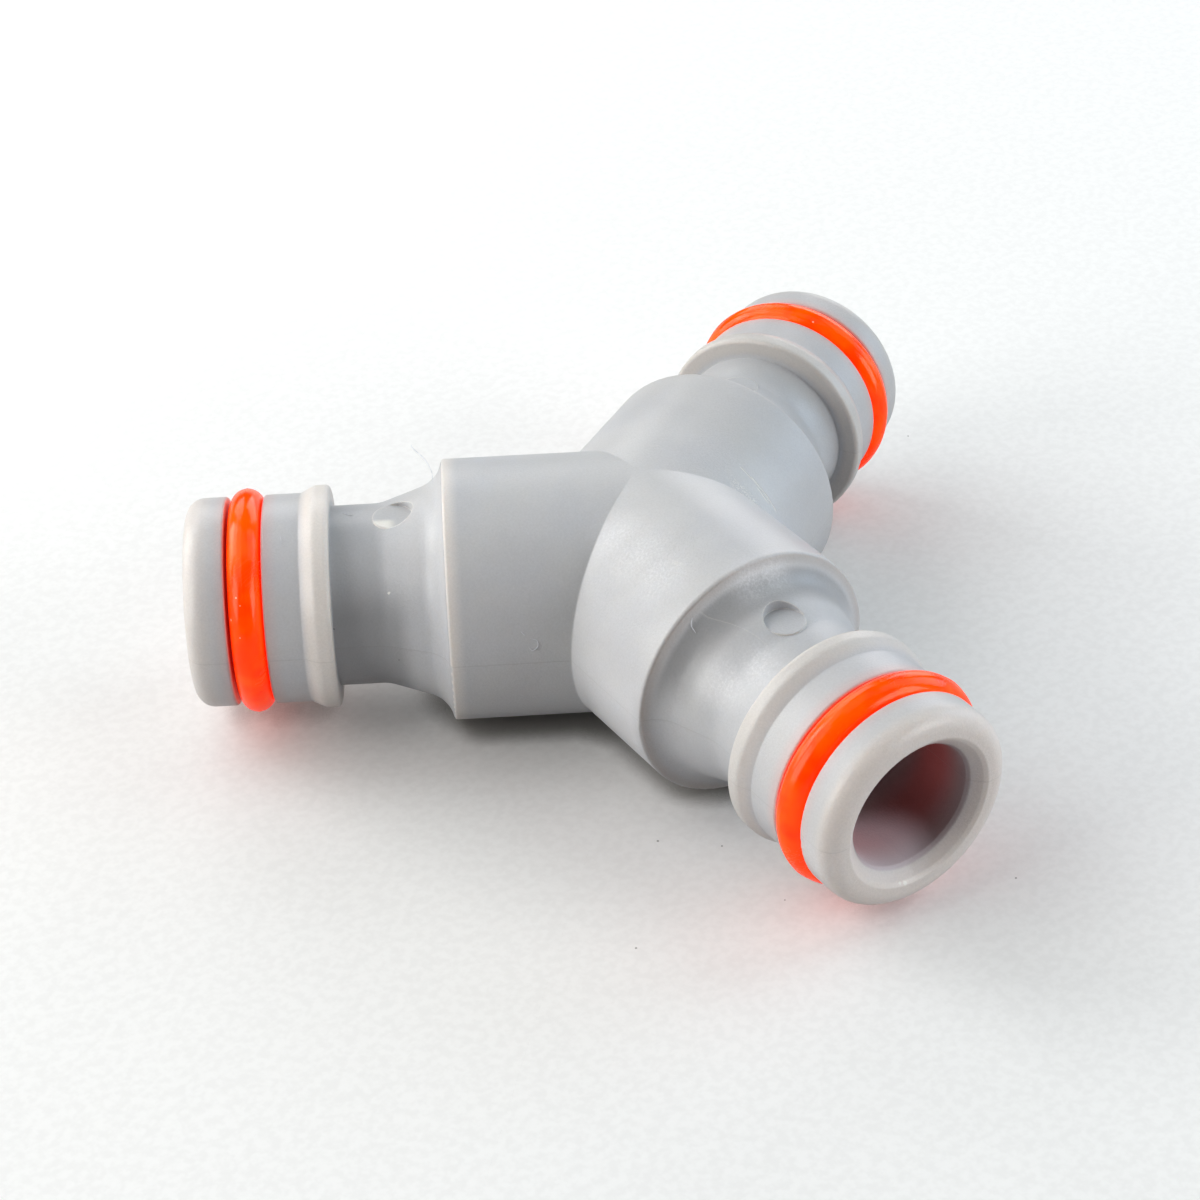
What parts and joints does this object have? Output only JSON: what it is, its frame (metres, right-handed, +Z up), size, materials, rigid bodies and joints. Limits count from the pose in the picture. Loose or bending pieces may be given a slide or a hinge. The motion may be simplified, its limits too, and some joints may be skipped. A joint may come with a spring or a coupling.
{
  "type": "three-way hose connector",
  "caption": "Y-shaped moulded garden hose connector with a male quick-connect nipple on each branch and a rubber sealing ring on each nipple.",
  "frame": {"origin": "the point where the three branch axes cross, on the moulding's mid-plane", "axes": "+Z up, square to the plane of the three branches; the front branch leaves along -Y, the right one 30 degrees above +X and the left one mirrors it"},
  "size_m": [0.0656, 0.0571, 0.0198],
  "materials": {
    "grey_plastic": "satin",
    "orange_rubber": "glossy"
  },
  "bodies": {
    "root": {"body": "grey_plastic", "front_o_ring": "orange_rubber", "right_o_ring": "orange_rubber", "left_o_ring": "orange_rubber"}
  },
  "joints": []
}
